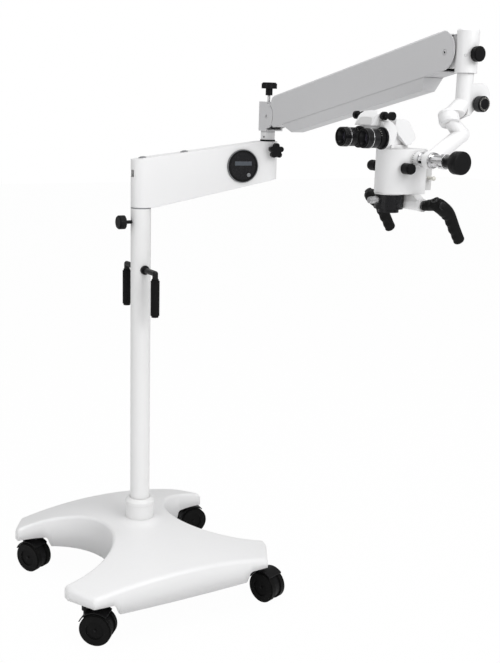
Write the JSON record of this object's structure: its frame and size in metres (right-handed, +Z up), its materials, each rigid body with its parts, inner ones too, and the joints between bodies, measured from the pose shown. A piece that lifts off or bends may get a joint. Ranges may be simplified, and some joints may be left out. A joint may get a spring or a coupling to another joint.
{
  "type": "dental microscope",
  "caption": "Stereo microscope head with eyepieces, handles and lamp, hung from jointed balanced arms on a post with a weighted, wheeled base.",
  "frame": {"origin": "on the floor, under the axis of the post in the middle of the base", "axes": "+Z up along the post; the lower arm runs towards +X, the spring arm towards -Y, and the user looks into the eyepieces from the -X side"},
  "size_m": [0.7547, 1.309, 1.601],
  "materials": {
    "cover_white": "satin gloss moulded cover",
    "iron": "rough casting",
    "post_white": "white powder coat",
    "bush": "machined nylon",
    "stem_black": "black powder coat",
    "grip_rubber": "soft matt rubber",
    "knob_black": "fine matt moulding",
    "wheel_black": "smooth dark tread",
    "cast_white": "casting with white powder coat",
    "steel": "turned steel",
    "beam": "extruded, plain",
    "screen": "dark clear window",
    "button_grey": "smooth",
    "trim_black": "satin",
    "knob_black_fine": "knurled, anodised black",
    "chrome_bright": "polished",
    "scale_white": "white lacquer with graduations",
    "black_metal": "black anodised",
    "lens_glass": "coated lens",
    "cover_grey": "light grey moulding",
    "lever_white": "smooth"
  },
  "bodies": {
    "stand": {"base_cover": "cover_white", "base_frame": "iron", "post_collar": "post_white", "post_tube": "post_white", "post_bush": "bush", "grip_stems": "stem_black", "push_grips": "grip_rubber"},
    "post_clamp": {"post_knob": "knob_black"},
    "lower_arm": {"lower_arm_shell": "cast_white", "lower_arm_cover": "cover_grey", "arm_spindle": "steel", "arm_caps": "cast_white", "display_bezel": "trim_black", "display_screen": "screen", "light_unit": "beam"},
    "power_key": {"power_button": "button_grey"},
    "neck_clamp": {"star_knob": "knob_black"},
    "yoke_turret": {"yoke": "cast_white", "yoke_ring": "trim_black", "lift_pin": "steel"},
    "tension": {"tension_knob": "knob_black"},
    "spring_arm": {"arm_top_cover": "cover_white", "arm_belly_cover": "cover_white", "arm_beam": "beam", "gas_spring": "steel"},
    "parallel_link": {"level_link": "steel"},
    "block": {"head_block": "cast_white", "level_pin": "steel"},
    "block_clamp": {"block_knob": "knob_black"},
    "drop": {"drop_arm": "cast_white"},
    "drop_clamp": {"drop_knob": "knob_black_fine"},
    "swan": {"swan_neck": "cast_white", "tilt_barrel": "chrome_bright"},
    "tilt_clamp": {"tilt_knob": "knob_black"},
    "head": {"head_shell": "cast_white", "head_rear_cover": "cover_grey", "tilt_ring": "scale_white", "tilt_shaft": "chrome_bright", "objective_housing": "black_metal", "handle_bar": "cast_white", "handle_grips": "grip_rubber", "bino_base": "cast_white"},
    "drum": {"mag_drum": "knob_black"},
    "focus": {"focus_knob": "chrome_bright"},
    "lens": {"objective_lens": "lens_glass"},
    "filter": {"filter_lever": "lever_white"},
    "binocular": {"bino_housing": "cast_white"},
    "spread": {"bino_shaft": "knob_black"},
    "eye_left": {"eyepiece_left": "black_metal"},
    "eye_right": {"eyepiece_right": "black_metal"},
    "diopter_left": {"diopter_ring_left": "knob_black"},
    "diopter_right": {"diopter_ring_right": "knob_black"},
    "caster_1": {"caster_hood_1": "trim_black"},
    "wheels_1": {"caster_wheels_1": "wheel_black"},
    "caster_2": {"caster_hood_2": "trim_black"},
    "wheels_2": {"caster_wheels_2": "wheel_black"},
    "caster_3": {"caster_hood_3": "trim_black"},
    "wheels_3": {"caster_wheels_3": "wheel_black"},
    "caster_4": {"caster_hood_4": "trim_black"},
    "wheels_4": {"caster_wheels_4": "wheel_black"}
  },
  "joints": [
    {"name": "post_clamp_turn", "type": "hinge", "parent": "stand", "child": "post_clamp", "pos_m": [0, 0, 1.097], "axis": [-1, 0, 0], "range_deg": [-90, 90]},
    {"name": "caster_swivel_1", "type": "hinge", "parent": "stand", "child": "caster_1", "pos_m": [-0.272, 0.252, 0.111], "axis": [0, 0, 1], "continuous": true},
    {"name": "caster_roll_1", "type": "hinge", "parent": "caster_1", "child": "wheels_1", "pos_m": [-0.25651, 0.22286, 0.045], "axis": [0.8829, 0.4695, 0], "continuous": true},
    {"name": "caster_swivel_2", "type": "hinge", "parent": "stand", "child": "caster_2", "pos_m": [-0.272, -0.252, 0.111], "axis": [0, 0, 1], "continuous": true},
    {"name": "caster_roll_2", "type": "hinge", "parent": "caster_2", "child": "wheels_2", "pos_m": [-0.24748, -0.27408, 0.045], "axis": [0.6691, 0.7431, 0], "continuous": true},
    {"name": "caster_swivel_3", "type": "hinge", "parent": "stand", "child": "caster_3", "pos_m": [0.272, -0.252, 0.111], "axis": [0, 0, 1], "continuous": true},
    {"name": "caster_roll_3", "type": "hinge", "parent": "caster_3", "child": "wheels_3", "pos_m": [0.2822, -0.28338, 0.045], "axis": [0.9511, 0.309, 0], "continuous": true},
    {"name": "caster_swivel_4", "type": "hinge", "parent": "stand", "child": "caster_4", "pos_m": [0.272, 0.252, 0.111], "axis": [0, 0, 1], "continuous": true},
    {"name": "caster_roll_4", "type": "hinge", "parent": "caster_4", "child": "wheels_4", "pos_m": [0.30487, 0.24912, 0.045], "axis": [0.0872, 0.9962, 0], "continuous": true},
    {"name": "lower_yaw", "type": "hinge", "parent": "stand", "child": "lower_arm", "pos_m": [0, 0, 1.138], "axis": [0, 0, 1], "range_deg": [-160, 160]},
    {"name": "power_press", "type": "slide", "parent": "lower_arm", "child": "power_key", "axis": [0.1305, 0.9914, 0], "range_m": [0, 0.002], "stiffness_N_per_m": 600, "springref_m": -0.002},
    {"name": "neck_clamp_turn", "type": "hinge", "parent": "lower_arm", "child": "neck_clamp", "pos_m": [0.38344, -0.07923, 1.299], "axis": [-0.1305, -0.9914, 0], "range_deg": [-120, 120]},
    {"name": "yoke_yaw", "type": "hinge", "parent": "lower_arm", "child": "yoke_turret", "pos_m": [0.38072, -0.05012, 1.3243], "axis": [0, 0, 1], "range_deg": [-150, 150]},
    {"name": "tension_turn", "type": "hinge", "parent": "yoke_turret", "child": "tension", "pos_m": [0.38072, -0.05012, 1.4363], "axis": [0, 0, 1], "range_deg": [-180, 180]},
    {"name": "arm_lift", "type": "hinge", "parent": "yoke_turret", "child": "spring_arm", "pos_m": [0.38072, -0.08412, 1.3963], "axis": [-1, 0, 0], "range_deg": [-46.88, 28.12]},
    {"name": "link_follow", "type": "hinge", "parent": "yoke_turret", "child": "parallel_link", "pos_m": [0.40071, -0.08412, 1.3703], "axis": [-1, 0, 0], "range_deg": [-47, 28.3]},
    {"name": "block_level", "type": "hinge", "parent": "spring_arm", "child": "block", "pos_m": [0.38072, -0.82442, 1.55204], "axis": [-1, 0, 0], "range_deg": [-28.3, 47]},
    {"name": "block_clamp_turn", "type": "hinge", "parent": "block", "child": "block_clamp", "pos_m": [0.38072, -0.88992, 1.54804], "axis": [0, -1, 0], "range_deg": [-120, 120]},
    {"name": "drop_yaw", "type": "hinge", "parent": "block", "child": "drop", "pos_m": [0.38072, -0.86542, 1.50804], "axis": [0, 0, 1], "range_deg": [-160, 160]},
    {"name": "drop_clamp_turn", "type": "hinge", "parent": "drop", "child": "drop_clamp", "pos_m": [0.40671, -0.88542, 1.44304], "axis": [0, -1, 0], "range_deg": [-120, 120]},
    {"name": "pendulum", "type": "hinge", "parent": "drop", "child": "swan", "pos_m": [0.34271, -0.86542, 1.40803], "axis": [-0.204, -0.505, -0.8387], "range_deg": [-45, 45]},
    {"name": "tilt_clamp_turn", "type": "hinge", "parent": "swan", "child": "tilt_clamp", "pos_m": [0.27271, -0.94542, 1.32103], "axis": [0, -1, 0], "range_deg": [-120, 120]},
    {"name": "head_tilt", "type": "hinge", "parent": "swan", "child": "head", "pos_m": [0.27271, -0.86042, 1.32103], "axis": [0, -1, 0], "range_deg": [-45, 50]},
    {"name": "mag_turn", "type": "hinge", "parent": "head", "child": "drum", "pos_m": [0.23972, -0.80042, 1.30103], "axis": [0, -1, 0], "continuous": true},
    {"name": "focus_turn", "type": "hinge", "parent": "head", "child": "focus", "pos_m": [0.20672, -0.80042, 1.22904], "axis": [-1, 0, 0], "range_deg": [-2, 362]},
    {"name": "lens_focus", "type": "slide", "parent": "head", "child": "lens", "axis": [0, 0, 1], "range_m": [0, 0.006]},
    {"name": "filter_pull", "type": "slide", "parent": "head", "child": "filter", "axis": [0, -1, 0], "range_m": [0, 0.012]},
    {"name": "eye_incline", "type": "hinge", "parent": "head", "child": "binocular", "pos_m": [0.18871, -0.80042, 1.37504], "axis": [0, 1, 0], "range_deg": [-25, 12]},
    {"name": "spread_turn", "type": "hinge", "parent": "binocular", "child": "spread", "pos_m": [0.18471, -0.80042, 1.41203], "axis": [0, -1, 0], "range_deg": [-2, 182]},
    {"name": "eye_left_in", "type": "slide", "parent": "binocular", "child": "eye_left", "axis": [0, -1, 0], "range_m": [0, 0.0125]},
    {"name": "eye_right_in", "type": "slide", "parent": "binocular", "child": "eye_right", "axis": [0, 1, 0], "range_m": [-0.0001, 0.0126]},
    {"name": "diopter_left_turn", "type": "hinge", "parent": "eye_left", "child": "diopter_left", "pos_m": [0.16972, -0.76042, 1.36503], "axis": [-1, 0, 0], "range_deg": [-60, 60]},
    {"name": "diopter_right_turn", "type": "hinge", "parent": "eye_right", "child": "diopter_right", "pos_m": [0.16972, -0.84042, 1.36503], "axis": [-1, 0, 0], "range_deg": [-60, 60]}
  ],
  "couplings": [
    {"joint": "link_follow", "follows": "arm_lift", "ratio": 1},
    {"joint": "block_level", "follows": "arm_lift", "ratio": -1},
    {"joint": "focus_turn", "follows": "lens_focus", "rad_per_m": 1047.2},
    {"joint": "spread_turn", "follows": "eye_left_in", "rad_per_m": 251.33},
    {"joint": "eye_right_in", "follows": "eye_left_in", "ratio": 1}
  ]
}
